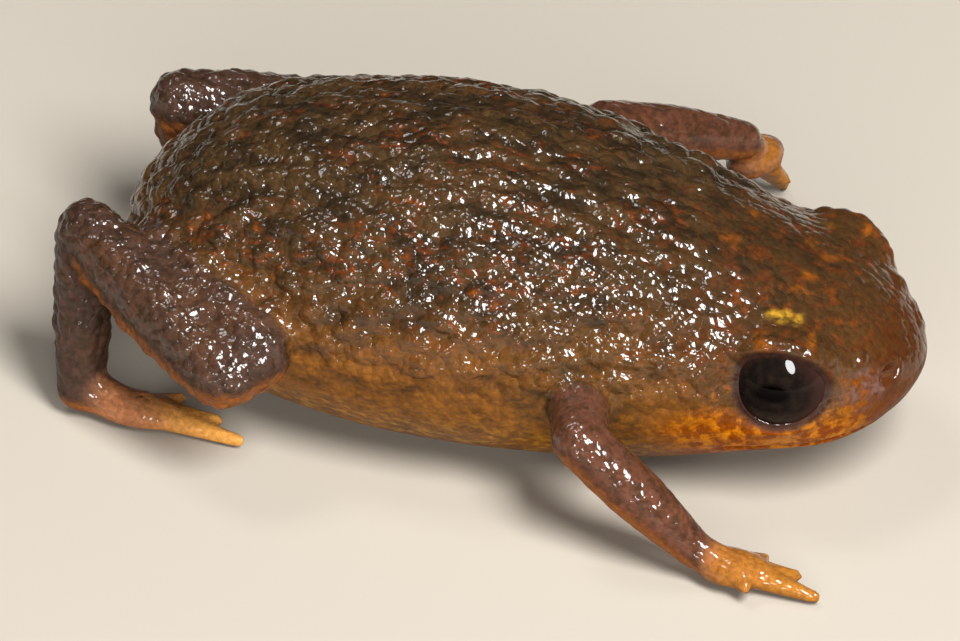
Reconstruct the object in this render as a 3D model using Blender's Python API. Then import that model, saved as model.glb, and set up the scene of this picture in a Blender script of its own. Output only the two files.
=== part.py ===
"""Pumpkin toadlet, Brachycephalus olivaceus, as a life-size still model.

The toadlet rests on a floor at z = 0 with its head towards +X and its left side
towards +Y. The origin is on the floor, in the flat on which the belly rests.
Sizes are in millimetres, and each finished mesh is scaled to metres at the end.
"""

import math
import random

import bmesh
import bpy
from mathutils import Matrix, Vector

TO_METRES = 0.001
GAP = 0.22  # between two nodes that meet
FLOOR = 0.0

# Driving dimensions of the trunk and head, which are one lofted form
SNOUT_VENT = 12.0
VENT_X = -4.8
SECTION_SIDES = 56
SECTION_STEP = 0.27  # between sections of the trunk
HEAD_STEP = 0.22  # between sections of the head
HEAD_FROM = 8.2  # distance from the vent
RUMP_ROUND = 1.5  # length over which the rump closes
SNOUT_ROUND = 1.3  # length over which the snout closes
BACK_POWER = 2.1  # superellipse power of the upper half of a section

# Sections: distance from the vent, half width, height of the back, height of
# the belly, height of the widest line, and superellipse power of the lower half
STATIONS = (
    (0.0, 1.88, 3.50, 1.15, 2.40, 2.0),
    (0.9, 2.14, 3.82, 0.72, 2.30, 2.0),
    (2.2, 2.56, 4.30, 0.22, 2.12, 2.0),
    (3.8, 2.86, 4.60, -0.05, 2.05, 2.0),
    (5.4, 2.95, 4.68, -0.08, 2.00, 2.0),
    (6.9, 2.80, 4.42, -0.04, 2.00, 2.0),
    (8.2, 2.50, 4.05, 0.12, 2.00, 2.15),
    (9.2, 2.25, 3.70, 0.42, 1.95, 2.4),
    (10.2, 1.98, 3.31, 0.68, 1.90, 2.5),
    (11.0, 1.73, 2.95, 0.86, 1.85, 2.5),
    (11.6, 1.55, 2.70, 1.00, 1.85, 2.4),
    (12.0, 1.35, 2.50, 1.10, 1.85, 2.4),
)

# The plane that parts the head from the trunk
NECK_X = 3.75
NECK_LEAN = math.radians(-8)

# Warts of the trunk, as low domes
WART_SEED = 11
WART_COUNT = 500
WART_RADIUS = (0.34, 0.48)
WART_HEIGHT = (0.07, 0.15)
WART_LOWEST = 0.9  # height under which the belly is smooth

# Eyes and lids
EYE_RADIUS = 0.72
EYE_GAP = 0.10
EYE_CENTRE = Vector((5.53, 1.40, 2.22))
EYE_LOOK = Vector((0.16, 1.0, 0.12)).normalized()
LID_OUTSIDE = 0.90  # radius of the swelling that the lids make
LID_BLEND = 9.0  # how sharply the swelling meets the head
LID_OPENING = (0.69, 0.51, 0.61)  # half length, then height above and below the middle

# Mouth and nostrils
MOUTH_CORNER = 9.3  # distance from the vent
MOUTH_Z = (1.08, 1.40)  # at the corner and at the tip of the snout
MOUTH_GROOVE = 0.075
LIP_SWELL = 0.05
LIP_HEIGHT = 0.20
NOSTRIL_AT = 11.62  # distance from the vent
NOSTRIL_ANGLE = math.radians(33)
NOSTRIL_RADIUS = 0.12

# Limbs: each joint's place and the limb's radius there. A leg is folded up, so
# its thigh and shank end side by side at the knee, and its joints are the hip,
# the thigh's end, the shank's end, the heel and the ankle.
RIGHT_ARM = (((2.55, -1.80, 1.90), 0.46), ((3.02, -3.58, 2.00), 0.41), ((4.82, -3.66, 0.48), 0.28))
LEFT_ARM = (((2.55, 1.80, 1.90), 0.46), ((1.18, 3.95, 2.38), 0.40), ((2.88, 5.45, 1.50), 0.30))
RIGHT_LEG = (
    ((-3.70, -1.70, 2.70), 0.62),
    ((-2.03, -3.05, 2.28), 0.50),
    ((-2.44, -3.40, 2.00), 0.50),
    ((-5.02, -1.74, 2.98), 0.44),
    ((-5.02, -2.12, 0.42), 0.36),
)
LEFT_LEG = (
    ((-3.70, 1.70, 2.40), 0.62),
    ((-2.03, 3.05, 2.28), 0.50),
    ((-2.44, 3.40, 2.00), 0.50),
    ((-4.84, 2.24, 2.74), 0.46),
    ((-4.58, 2.78, 0.42), 0.36),
)
ARM_SWELL = (0.02, 0.06)  # of the upper arm and forearm
LEG_SWELL = (0.06, 0.12, 0.01)  # of the thigh, shank and tarsus
LIMB_SIDES = 14
LIMB_RINGS = 8
END_RINGS = 3

# Hands and feet: the tip of the longest digit, and for each digit its turn
# away from that one towards the body, in degrees, and its share of the length
RIGHT_FINGERTIP = (6.66, -3.83, 0.14)
LEFT_FINGERTIP = (3.24, 6.52, 0.09)
RIGHT_TOETIP = (-2.50, -2.40, 0.14)
LEFT_TOETIP = (-1.90, 3.10, 0.14)
FINGERS = ((0, 1.0), (12, 0.80), (26, 0.54), (-22, 0.54))
TOES = ((0, 1.0), (8, 0.82), (20, 0.58))
PALM = (0.56, 0.38, 0.25)  # half length, half width and half height
SOLE = (0.85, 0.36, 0.25)
DIGIT_RADIUS = (0.23, 0.17, 0.10)  # at the root, the middle and the tip
DIGIT_SIDES = 8
DIGIT_RINGS = 5
SOCKET_SIDES = 26
AXES = (Vector((1, 0, 0)), Vector((0, 1, 0)), Vector((0, 0, 1)))

SKIN_TRUNK = (0.060, 0.042, 0.022)
SKIN_HEAD = (0.085, 0.045, 0.022)
SKIN_LIMB = (0.095, 0.045, 0.030)
SKIN_DIGIT = (0.45, 0.19, 0.06)
EYE_BLACK = (0.006, 0.006, 0.007)
SKIN_ROUGHNESS = 0.28
EYE_ROUGHNESS = 0.04


def clear_scene():
    """Remove whatever the file holds."""
    for thing in list(bpy.data.objects):
        bpy.data.objects.remove(thing, do_unlink=True)


def new_collection(name):
    """Add a collection to the scene."""
    collection = bpy.data.collections.new(name)
    bpy.context.scene.collection.children.link(collection)
    return collection


def material(name, colour, roughness):
    """Return a Principled material."""
    finish = bpy.data.materials.new(name)
    finish.use_nodes = True
    shader = finish.node_tree.nodes["Principled BSDF"]
    shader.inputs["Base Color"].default_value = (*colour, 1.0)
    shader.inputs["Roughness"].default_value = roughness
    shader.inputs["Metallic"].default_value = 0.0
    return finish


def smooth_row(rows, at):
    """Read every column of a table at a place, on a smooth curve through its rows."""
    last = len(rows) - 1
    index = 0
    while index < last - 1 and at > rows[index + 1][0]:
        index += 1
    before = rows[max(index - 1, 0)]
    here = rows[index]
    after = rows[index + 1]
    beyond = rows[min(index + 2, last)]
    span = after[0] - here[0]
    t = min(max((at - here[0]) / span, 0.0), 1.0)
    values = []
    for column in range(1, len(here)):
        slope_here = (after[column] - before[column]) / (after[0] - before[0]) * span
        slope_after = (beyond[column] - here[column]) / (beyond[0] - here[0]) * span
        values.append(
            (2 * t**3 - 3 * t**2 + 1) * here[column]
            + (t**3 - 2 * t**2 + t) * slope_here
            + (3 * t**2 - 2 * t**3) * after[column]
            + (t**3 - t**2) * slope_after
        )
    return values


def rounding(at):
    """How far a section has opened, from 0 at the body's ends to 1."""
    opened = 1.0
    if at < RUMP_ROUND:
        opened = math.sqrt(max(1 - (1 - at / RUMP_ROUND) ** 2, 0))
    ahead = SNOUT_VENT - at
    if ahead < SNOUT_ROUND:
        opened = math.sqrt(max(1 - (1 - ahead / SNOUT_ROUND) ** 2, 0))
    return opened


def body_point(at, angle):
    """Return the point of the plain body at a distance from the vent and an angle."""
    width, back, belly, middle, low_power = smooth_row(STATIONS, at)
    opened = rounding(at)
    across = math.cos(angle)
    up = math.sin(angle)
    power = BACK_POWER if up > 0 else low_power
    reach = back - middle if up > 0 else middle - belly
    y = width * opened * math.copysign(abs(across) ** (2 / power), across)
    z = middle + reach * opened * math.copysign(abs(up) ** (2 / power), up)
    return Vector((VENT_X + at, y, z))


def body_width(at, z):
    """Return the half width of the plain body at a height."""
    width, back, belly, middle, low_power = smooth_row(STATIONS, at)
    opened = rounding(at)
    power = BACK_POWER if z > middle else low_power
    reach = back - middle if z > middle else middle - belly
    share = min(abs(z - middle) / max(reach * opened, 1e-6), 1.0)
    return width * opened * (1 - share**power) ** (1 / power)


def section_places():
    """List the distances from the vent at which the body has a section."""
    places = []
    turns = 7
    for step in range(1, turns):
        places.append(RUMP_ROUND * (1 - math.cos(math.pi / 2 * step / turns)))
    at = RUMP_ROUND
    while at < SNOUT_VENT - SNOUT_ROUND - HEAD_STEP / 2:
        places.append(at)
        at += SECTION_STEP if at < HEAD_FROM else HEAD_STEP
    for step in range(turns + 2, 0, -1):
        places.append(SNOUT_VENT - SNOUT_ROUND * (1 - math.cos(math.pi / 2 * step / (turns + 2))))
    return places


def mouth_height(at):
    """Return the height of the mouth's line at a distance from the vent."""
    share = min(max((at - MOUTH_CORNER) / (SNOUT_VENT - MOUTH_CORNER), 0.0), 1.0)
    return MOUTH_Z[0] + (MOUTH_Z[1] - MOUTH_Z[0]) * share**0.7


def wart_places():
    """Draw the warts: the place, radius and height of each."""
    draw = random.Random(WART_SEED)
    warts = []
    for _ in range(WART_COUNT):
        at = draw.uniform(0.3, HEAD_FROM + 0.6)
        place = body_point(at, draw.uniform(0, 2 * math.pi))
        radius = draw.uniform(*WART_RADIUS)
        height = draw.uniform(*WART_HEIGHT)
        if place.z < WART_LOWEST:
            continue
        if all((place - other[0]).length > (radius + other[1]) * 0.62 for other in warts):
            warts.append((place, radius, height))
    return warts


def raise_warts(mesh):
    """Lift the skin over each wart."""
    warts = wart_places()
    for vert in mesh.verts:
        lift = 0.0
        for place, radius, height in warts:
            apart = (vert.co - place).length / radius
            if apart < 1:
                lift = max(lift, height * (1 - apart**2) ** 2 * 1.3)
        vert.co += vert.normal * lift


def swell_lids(mesh):
    """Wrap the head's skin round both eyeballs."""
    for side in (1, -1):
        centre = Vector((EYE_CENTRE.x, side * EYE_CENTRE.y, EYE_CENTRE.z))
        for vert in mesh.verts:
            away = vert.co - centre
            if away.length > 2.5 * LID_OUTSIDE:
                continue
            reach = (away.length**LID_BLEND + LID_OUTSIDE**LID_BLEND) ** (1 / LID_BLEND)
            vert.co = centre + away.normalized() * reach


def swell_lips(mesh):
    """Raise the lips above and below the mouth's line."""
    for vert in mesh.verts:
        at = vert.co.x - VENT_X
        fade = min(max((at - MOUTH_CORNER + 0.3) / 0.9, 0.0), 1.0)
        off = (vert.co.z - mouth_height(at)) / LIP_HEIGHT
        vert.co += vert.normal * LIP_SWELL * fade * math.exp(-off * off)


def mesh_object(name, mesh, collection):
    """Make an object of a finished bmesh."""
    bmesh.ops.recalc_face_normals(mesh, faces=mesh.faces)
    data = bpy.data.meshes.new(name)
    mesh.to_mesh(data)
    mesh.free()
    thing = bpy.data.objects.new(name, data)
    collection.objects.link(thing)
    return thing


def close_rings(mesh, rings, first, last):
    """Skin a row of rings, each end drawn to a point."""
    start = mesh.verts.new(first)
    end = mesh.verts.new(last)
    loops = [[mesh.verts.new(point) for point in ring] for ring in rings]
    count = len(loops[0])
    for one, two in zip(loops, loops[1:]):
        for i in range(count):
            j = (i + 1) % count
            mesh.faces.new((one[i], one[j], two[j], two[i]))
    for i in range(count):
        j = (i + 1) % count
        mesh.faces.new((start, loops[0][j], loops[0][i]))
        mesh.faces.new((end, loops[-1][i], loops[-1][j]))
    bmesh.ops.recalc_face_normals(mesh, faces=mesh.faces)
    mesh.normal_update()


def make_body(collection):
    """Loft the trunk and head, with warts, lids and lips."""
    mesh = bmesh.new()
    rings = []
    for at in section_places():
        angles = [2 * math.pi * i / SECTION_SIDES for i in range(SECTION_SIDES)]
        rings.append([body_point(at, angle) for angle in angles])
    close_rings(mesh, rings, body_point(0, 0), body_point(SNOUT_VENT, 0))
    raise_warts(mesh)
    swell_lids(mesh)
    mesh.normal_update()
    swell_lips(mesh)
    bmesh.ops.triangulate(mesh, faces=mesh.faces)
    return mesh_object("body", mesh, collection)


def tube(name, rows, sides, steps, collection, grow=0.0):
    """Make a round-ended tube along rows of x, y, z and radius."""
    table = [(i / (len(rows) - 1), *row) for i, row in enumerate(rows)]
    stops = [smooth_row(table, i / steps) for i in range(steps + 1)]
    centres = [Vector(stop[:3]) for stop in stops]
    radii = [stop[3] + grow for stop in stops]
    runs = [(two - one).normalized() for one, two in zip(centres, centres[1:])]
    heading, finish = runs[0], runs[-1]
    across = min(AXES, key=lambda axis: max(abs(axis.dot(run)) for run in runs))
    rings = []

    def ring(centre, along, radius):
        side = (across - along * across.dot(along)).normalized()
        up = along.cross(side)
        turns = [2 * math.pi * i / sides for i in range(sides)]
        rings.append([centre + (side * math.cos(a) + up * math.sin(a)) * radius for a in turns])

    for i in range(1, END_RINGS):
        bend = math.pi / 2 * i / END_RINGS
        ring(centres[0] - heading * radii[0] * math.cos(bend), heading, radii[0] * math.sin(bend))
    for i, centre in enumerate(centres):
        along = centres[min(i + 1, steps)] - centres[max(i - 1, 0)]
        ring(centre, along.normalized(), radii[i])
    for i in range(END_RINGS - 1, 0, -1):
        bend = math.pi / 2 * i / END_RINGS
        ring(centres[-1] + finish * radii[-1] * math.cos(bend), finish, radii[-1] * math.sin(bend))
    mesh = bmesh.new()
    close_rings(mesh, rings, centres[0] - heading * radii[0], centres[-1] + finish * radii[-1])
    return mesh_object(name, mesh, collection)


def limb(name, start, end, swell, collection, grow=0.0):
    """Make one length of a limb, fuller in its middle."""
    (root, root_radius), (tip, tip_radius) = start, end
    root = Vector(root)
    tip = Vector(tip)
    middle = (root_radius + tip_radius) / 2 + swell
    rows = ((*root, root_radius), (*root.lerp(tip, 0.5), middle), (*tip, tip_radius))
    return tube(name, rows, LIMB_SIDES, LIMB_RINGS, collection, grow)


def ellipsoid(name, centre, half_sizes, turn, collection):
    """Make an ellipsoid turned about the vertical."""
    mesh = bmesh.new()
    bmesh.ops.create_uvsphere(mesh, u_segments=14, v_segments=8, radius=1.0)
    place = Matrix.Translation(centre) @ Matrix.Rotation(turn, 4, "Z")
    mesh.transform(place @ Matrix.Diagonal((*half_sizes, 1.0)))
    return mesh_object(name, mesh, collection)


def box(name, centre, sizes, lean, collection):
    """Make a box leaned about the Y axis."""
    mesh = bmesh.new()
    bmesh.ops.create_cube(mesh, size=1.0)
    place = Matrix.Translation(centre) @ Matrix.Rotation(lean, 4, "Y")
    mesh.transform(place @ Matrix.Diagonal((*sizes, 1.0)))
    return mesh_object(name, mesh, collection)


def swollen(thing, grow, collection):
    """Copy an object with its skin moved out by a distance."""
    mesh = bmesh.new()
    mesh.from_mesh(thing.data)
    for vert in mesh.verts:
        vert.co += vert.normal * grow
    return mesh_object(thing.name + "_swollen", mesh, collection)


def boolean(target, other, operation):
    """Apply one Boolean with an object, or with each object of a collection."""
    modifier = target.modifiers.new(operation.lower(), "BOOLEAN")
    modifier.solver = "EXACT"
    modifier.operation = operation
    if isinstance(other, bpy.types.Collection):
        modifier.operand_type = "COLLECTION"
        modifier.collection = other
    else:
        modifier.object = other
    bpy.context.view_layer.objects.active = target
    bpy.ops.object.modifier_apply(modifier=modifier.name)


def keep_largest(thing):
    """Keep only the closed surface that holds the most."""
    mesh = bmesh.new()
    mesh.from_mesh(thing.data)
    left = set(mesh.verts)
    groups = []
    while left:
        seed = left.pop()
        group = {seed}
        border = [seed]
        while border:
            vert = border.pop()
            for edge in vert.link_edges:
                other = edge.other_vert(vert)
                if other in left:
                    left.remove(other)
                    group.add(other)
                    border.append(other)
        groups.append(group)
    spans = []
    for group in groups:
        corners = [[vert.co[axis] for vert in group] for axis in range(3)]
        spans.append(math.prod(max(values) - min(values) for values in corners))
    largest = groups[spans.index(max(spans))]
    spare = [vert for vert in mesh.verts if vert not in largest]
    bmesh.ops.delete(mesh, geom=spare, context="VERTS")
    mesh.to_mesh(thing.data)
    mesh.free()


def fuse(name, pieces, bench, collection):
    """Join closed pieces into one body."""
    rest = new_collection(name + "_pieces")
    for piece in pieces[1:]:
        bench.objects.unlink(piece)
        rest.objects.link(piece)
    body = pieces[0]
    boolean(body, rest, "UNION")
    for piece in list(rest.objects):
        bpy.data.objects.remove(piece, do_unlink=True)
    bpy.data.collections.remove(rest)
    body.name = name
    bench.objects.unlink(body)
    collection.objects.link(body)
    return body


def extremity(name, root, tip, digits, pad, side, bench, collection):
    """Make a hand or foot: a short wrist, a fleshy pad and tapering digits."""
    root, root_radius = Vector(root[0]), root[1]
    reach = Vector(tip) - root
    turn = math.atan2(reach.y, reach.x)
    heart = root + reach * (pad[0] / reach.length)
    heart.z = max(heart.z - 0.05, pad[2] * 0.9)
    wrist = ((*root, root_radius), (*heart, DIGIT_RADIUS[0]))
    pieces = [tube(name + "_wrist", wrist, LIMB_SIDES, 3, bench)]
    for angle, share in digits:
        inward = Matrix.Rotation(math.radians(-angle * side), 3, "Z")
        end = root + inward @ reach * share
        end.z = max(end.z, DIGIT_RADIUS[2] * 0.9)
        start = heart.lerp(end, 0.08)
        middle = heart.lerp(end, 0.5)
        start.z = max(start.z, DIGIT_RADIUS[0] * 0.9)
        middle.z = max(middle.z, DIGIT_RADIUS[1] * 0.9)
        rows = [(*place, radius) for place, radius in zip((start, middle, end), DIGIT_RADIUS)]
        pieces.append(tube(name + "_digit", rows, DIGIT_SIDES, DIGIT_RINGS, bench))
    pieces.append(ellipsoid(name + "_pad", heart, pad, turn, bench))
    return fuse(name, pieces, bench, collection)


def cut_eye_opening(head, centre, side, bench):
    """Cut the socket and, flaring out of it, the opening between the lids."""
    look = Vector((EYE_LOOK.x, side * EYE_LOOK.y, EYE_LOOK.z))
    aim = look.to_track_quat("Z", "Y").to_matrix()
    radius = EYE_RADIUS + EYE_GAP
    half_long, above, below = LID_OPENING
    mean = (2 * half_long + above + below) / 4
    steps = 10
    last = math.pi - math.asin(mean / radius)
    profile = []
    for i in range(1, steps):
        bend = last * i / steps
        wide = radius * math.sin(bend)
        profile.append((wide, wide, wide, -radius * math.cos(bend)))
    for out, flare in ((0.02, 1.0), (0.30, 1.22), (0.70, 1.6)):
        height = radius * math.cos(math.asin(mean / radius)) + out
        profile.append((half_long * flare, above * flare, below * flare, height))
    turns = [2 * math.pi * i / SOCKET_SIDES for i in range(SOCKET_SIDES)]
    rings = []
    for wide, up, down, depth in profile:
        ring = []
        for a in turns:
            high = up if math.sin(a) > 0 else down
            ring.append(centre + aim @ Vector((wide * math.cos(a), high * math.sin(a), depth)))
        rings.append(ring)
    mesh = bmesh.new()
    top = centre + look * (profile[-1][3] + 0.05)
    close_rings(mesh, rings, centre - look * radius, top)
    boolean(head, mesh_object("socket", mesh, bench), "DIFFERENCE")


def mouth_front():
    """Find the distance from the vent at which the mouth's line meets the midline."""
    near, far = MOUTH_CORNER, SNOUT_VENT
    for _ in range(30):
        middle = (near + far) / 2
        if body_width(middle, mouth_height(middle)) > 0:
            near = middle
        else:
            far = middle
    return near


def cut_mouth(head, bench):
    """Cut the line of the mouth round the snout, from corner to corner."""
    front = mouth_front()
    steps = 16
    left = []
    for i in range(steps):
        at = MOUTH_CORNER + (front - MOUTH_CORNER) * math.sin(math.pi / 2 * i / steps)
        z = mouth_height(at)
        left.append(Vector((VENT_X + at, body_width(at, z), z)))
    tip = Vector((VENT_X + front, 0, mouth_height(front)))
    right = [Vector((point.x, -point.y, point.z)) for point in reversed(left)]
    line = left + [tip] + right
    rows = []
    for i, point in enumerate(line):
        along = line[min(i + 1, len(line) - 1)] - line[max(i - 1, 0)]
        outward = Vector((along.y, -along.x, 0)).normalized() * -1
        rows.append((*(point + outward * LIP_SWELL), MOUTH_GROOVE))
    groove = tube("mouth", rows, 6, len(rows), bench)
    boolean(head, groove, "DIFFERENCE")


def cut_nostrils(head, bench):
    """Cut the two nostrils."""
    for side in (1, -1):
        angle = NOSTRIL_ANGLE if side > 0 else math.pi - NOSTRIL_ANGLE
        place = body_point(NOSTRIL_AT, angle)
        pit = ellipsoid("pit", place, [NOSTRIL_RADIUS] * 3, 0, bench)
        boolean(head, pit, "DIFFERENCE")


def finish_node(thing, finish):
    """Clean a node's mesh, colour it and scale it to metres."""
    keep_largest(thing)
    mesh = bmesh.new()
    mesh.from_mesh(thing.data)
    bmesh.ops.triangulate(mesh, faces=mesh.faces)
    bmesh.ops.recalc_face_normals(mesh, faces=mesh.faces)
    mesh.transform(Matrix.Scale(TO_METRES, 4))
    mesh.to_mesh(thing.data)
    mesh.free()
    thing.data.materials.clear()
    thing.data.materials.append(finish)
    thing.data.shade_smooth()
    thing.data.set_sharp_from_angle(angle=math.radians(50))


def part_head(body, bench, toadlet):
    """Part the body into head and trunk with one thin cut."""
    head = body.copy()
    head.data = body.data.copy()
    head.name = "head"
    bench.objects.link(head)
    span = 2 * SNOUT_VENT
    ahead = Vector((math.cos(NECK_LEAN), 0, -math.sin(NECK_LEAN)))
    neck = Vector((NECK_X, 0, 2.0))
    front = box("front", neck + ahead * (span / 2), (span, span, span), NECK_LEAN, bench)
    rear = box("rear", neck - ahead * (span / 2 - GAP), (span, span, span), NECK_LEAN, bench)
    boolean(head, rear, "DIFFERENCE")
    boolean(body, front, "DIFFERENCE")
    body.name = "torso"
    for thing in (head, body):
        bench.objects.unlink(thing)
        toadlet.objects.link(thing)
    return head, body


def make_limbs(side, arm, leg, fingertip, toetip, trunk, bench, toadlet):
    """Make the arm and leg of one side, each length cut clear of the one before."""
    word = "left" if side > 0 else "right"
    upper_arm = limb(f"upper_arm_{word}", arm[0], arm[1], ARM_SWELL[0], toadlet)
    forearm = limb(f"forearm_{word}", arm[1], arm[2], ARM_SWELL[1], toadlet)
    boolean(forearm, limb("elbow_room", arm[0], arm[1], ARM_SWELL[0], bench, GAP), "DIFFERENCE")
    hand = extremity(f"hand_{word}", arm[2], fingertip, FINGERS, PALM, side, bench, toadlet)
    boolean(hand, limb("wrist_room", arm[1], arm[2], ARM_SWELL[1], bench, GAP), "DIFFERENCE")

    # The folded thigh and shank are pressed together, so they are one node
    thigh = limb("thigh", leg[0], leg[1], LEG_SWELL[0], bench)
    shank = limb("shank", leg[2], leg[3], LEG_SWELL[1], bench)
    folded = fuse(f"leg_{word}", [thigh, shank], bench, toadlet)
    tarsus = limb(f"tarsus_{word}", leg[3], leg[4], LEG_SWELL[2], toadlet)
    boolean(tarsus, limb("heel_room", leg[2], leg[3], LEG_SWELL[1], bench, GAP), "DIFFERENCE")
    foot = extremity(f"foot_{word}", leg[4], toetip, TOES, SOLE, side, bench, toadlet)
    boolean(foot, limb("ankle_room", leg[3], leg[4], LEG_SWELL[2], bench, GAP), "DIFFERENCE")

    nodes = {}
    for node in (upper_arm, forearm, hand, folded, tarsus, foot):
        boolean(node, trunk, "DIFFERENCE")
        nodes[node.name] = node
    return nodes


def main():
    clear_scene()
    toadlet = new_collection("brachycephalus_olivaceus")
    bench = new_collection("cutters")

    body = make_body(bench)
    trunk = swollen(body, GAP, bench)
    head, torso = part_head(body, bench, toadlet)
    nodes = {"head": head, "torso": torso}
    for side, arm, leg, fingertip, toetip in (
        (1, LEFT_ARM, LEFT_LEG, LEFT_FINGERTIP, LEFT_TOETIP),
        (-1, RIGHT_ARM, RIGHT_LEG, RIGHT_FINGERTIP, RIGHT_TOETIP),
    ):
        nodes.update(make_limbs(side, arm, leg, fingertip, toetip, trunk, bench, toadlet))

    for side, word in ((1, "left"), (-1, "right")):
        centre = Vector((EYE_CENTRE.x, side * EYE_CENTRE.y, EYE_CENTRE.z))
        cut_eye_opening(head, centre, side, bench)
        mesh = bmesh.new()
        bmesh.ops.create_uvsphere(mesh, u_segments=22, v_segments=12, radius=EYE_RADIUS)
        mesh.transform(Matrix.Translation(centre) @ Matrix.Rotation(math.pi / 2, 4, "X"))
        nodes[f"eye_{word}"] = mesh_object(f"eye_{word}", mesh, toadlet)
    cut_mouth(head, bench)
    cut_nostrils(head, bench)

    span = 2 * SNOUT_VENT
    ground = box("ground", Vector((0, 0, FLOOR - span / 2)), (span, span, span), 0, bench)
    for name, node in nodes.items():
        boolean(node, ground, "DIFFERENCE")
        if name.startswith("eye"):
            finish = material(name, EYE_BLACK, EYE_ROUGHNESS)
        elif name.startswith(("hand", "foot")):
            finish = material(name, SKIN_DIGIT, SKIN_ROUGHNESS)
        elif name == "torso":
            finish = material(name, SKIN_TRUNK, SKIN_ROUGHNESS)
        elif name == "head":
            finish = material(name, SKIN_HEAD, SKIN_ROUGHNESS)
        else:
            finish = material(name, SKIN_LIMB, SKIN_ROUGHNESS)
        finish_node(node, finish)
    for cutter in list(bench.objects):
        bpy.data.objects.remove(cutter, do_unlink=True)
    bpy.data.collections.remove(bench)


main()
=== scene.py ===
import math

import bmesh
import bpy
import numpy as np
from mathutils import Matrix, Vector, kdtree


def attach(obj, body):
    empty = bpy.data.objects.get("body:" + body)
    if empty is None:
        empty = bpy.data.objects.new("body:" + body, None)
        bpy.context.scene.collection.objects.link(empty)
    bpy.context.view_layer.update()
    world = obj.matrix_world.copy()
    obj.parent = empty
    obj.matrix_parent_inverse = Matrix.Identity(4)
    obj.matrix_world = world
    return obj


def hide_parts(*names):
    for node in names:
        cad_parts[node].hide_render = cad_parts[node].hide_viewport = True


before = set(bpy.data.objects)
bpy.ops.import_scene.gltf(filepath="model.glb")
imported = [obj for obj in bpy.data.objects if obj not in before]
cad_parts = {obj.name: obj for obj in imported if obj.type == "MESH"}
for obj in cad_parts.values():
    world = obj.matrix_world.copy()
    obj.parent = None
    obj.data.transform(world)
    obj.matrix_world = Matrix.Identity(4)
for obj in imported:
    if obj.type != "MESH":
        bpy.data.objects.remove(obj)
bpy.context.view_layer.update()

# The toadlet is shaped in millimetres, in the frame's own place, and every
# finished mesh is brought to metres once.
toMetres = 0.001
nodeNames = sorted(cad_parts)
sideOf = {"left": 1, "right": -1}


# Small helpers

def toLinear(hexColour):
    # sRGB hex to linear RGBA
    channels = [int(hexColour[i:i + 2], 16) / 255 for i in (1, 3, 5)]
    return [c / 12.92 if c <= 0.04045 else ((c + 0.055) / 1.055) ** 2.4 for c in channels] + [1.0]


def addNode(tree, kind, settings=None, **inputs):
    # Add a node, set its options, then fill or link its inputs by name, or by number as i0, i1.
    node = tree.nodes.new(kind)
    for key, value in (settings or {}).items():
        setattr(node, key, value)
    for key, value in inputs.items():
        socket = node.inputs[int(key[1:]) if key[1:].isdigit() else key.replace("_", " ")]
        if isinstance(value, bpy.types.NodeSocket):
            tree.links.new(value, socket)
        else:
            socket.default_value = value
    return node


def smoothstep(low, high, value):
    t = np.clip((value - low) / (high - low), 0, 1)
    return t * t * (3 - 2 * t)


# Camera, light and floor

stage = {
    "azimuth": 16.8,       # degrees the camera stands behind square to the right side
    "elevation": 33.8,
    "pixelsPerMm": 68.7,
    "frameSize": (960, 641),
    "originPixel": (450, 389),
    "distance": 0.25,      # far, so that the view is almost parallel
    "focusHeight": 0.0023,   # height in metres that the view is centred on
    "floorColour": "#a39b8f",
    "floorSize": 0.5,
    "floorRoughness": 0.85,
    "roomColour": "#e9e2d8",
    "roomStrength": 0.03,
}


def viewAxes():
    turn = math.radians(stage["azimuth"])
    rise = math.radians(stage["elevation"])
    right = Vector((math.cos(turn), math.sin(turn), 0))
    ahead = Vector((-math.sin(turn) * math.cos(rise), math.cos(turn) * math.cos(rise), -math.sin(rise)))
    return right, right.cross(ahead), ahead


def makeCamera():
    right, up, ahead = viewAxes()
    width, height = stage["frameSize"]
    across = (width / 2 - stage["originPixel"][0]) / stage["pixelsPerMm"] * toMetres
    above = (stage["originPixel"][1] - height / 2) / stage["pixelsPerMm"] * toMetres
    aim = right * across + up * above
    aim += ahead * (stage["focusHeight"] - aim.z) / ahead.z
    data = bpy.data.cameras.new("camera")
    data.sensor_width = 36
    spread = width / stage["pixelsPerMm"] * toMetres
    data.lens = data.sensor_width * stage["distance"] / spread
    data.clip_start = 0.01
    data.clip_end = 10
    camera = bpy.data.objects.new("camera", data)
    bpy.context.collection.objects.link(camera)
    camera.matrix_world = Matrix.Translation(aim - ahead * stage["distance"]) @ Matrix(
        (right, up, -ahead)).transposed().to_4x4()
    bpy.context.scene.camera = camera


softboxes = {
    # direction the light comes from, distance, width, height, power, seen in reflections
    "key": ((0.47, -0.46, 0.80), 0.15, 0.048, 0.088, 0.50, True),
    "fill": ((0.30, -0.88, 0.36), 0.18, 0.120, 0.080, 0.28, False),
    "top": ((-0.35, 0.10, 0.93), 0.20, 0.060, 0.060, 0.09, True),
    "side": ((0.00, -0.96, 0.25), 0.15, 0.024, 0.024, 0.05, True),
}


sideLit = "lit from the side"


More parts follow.
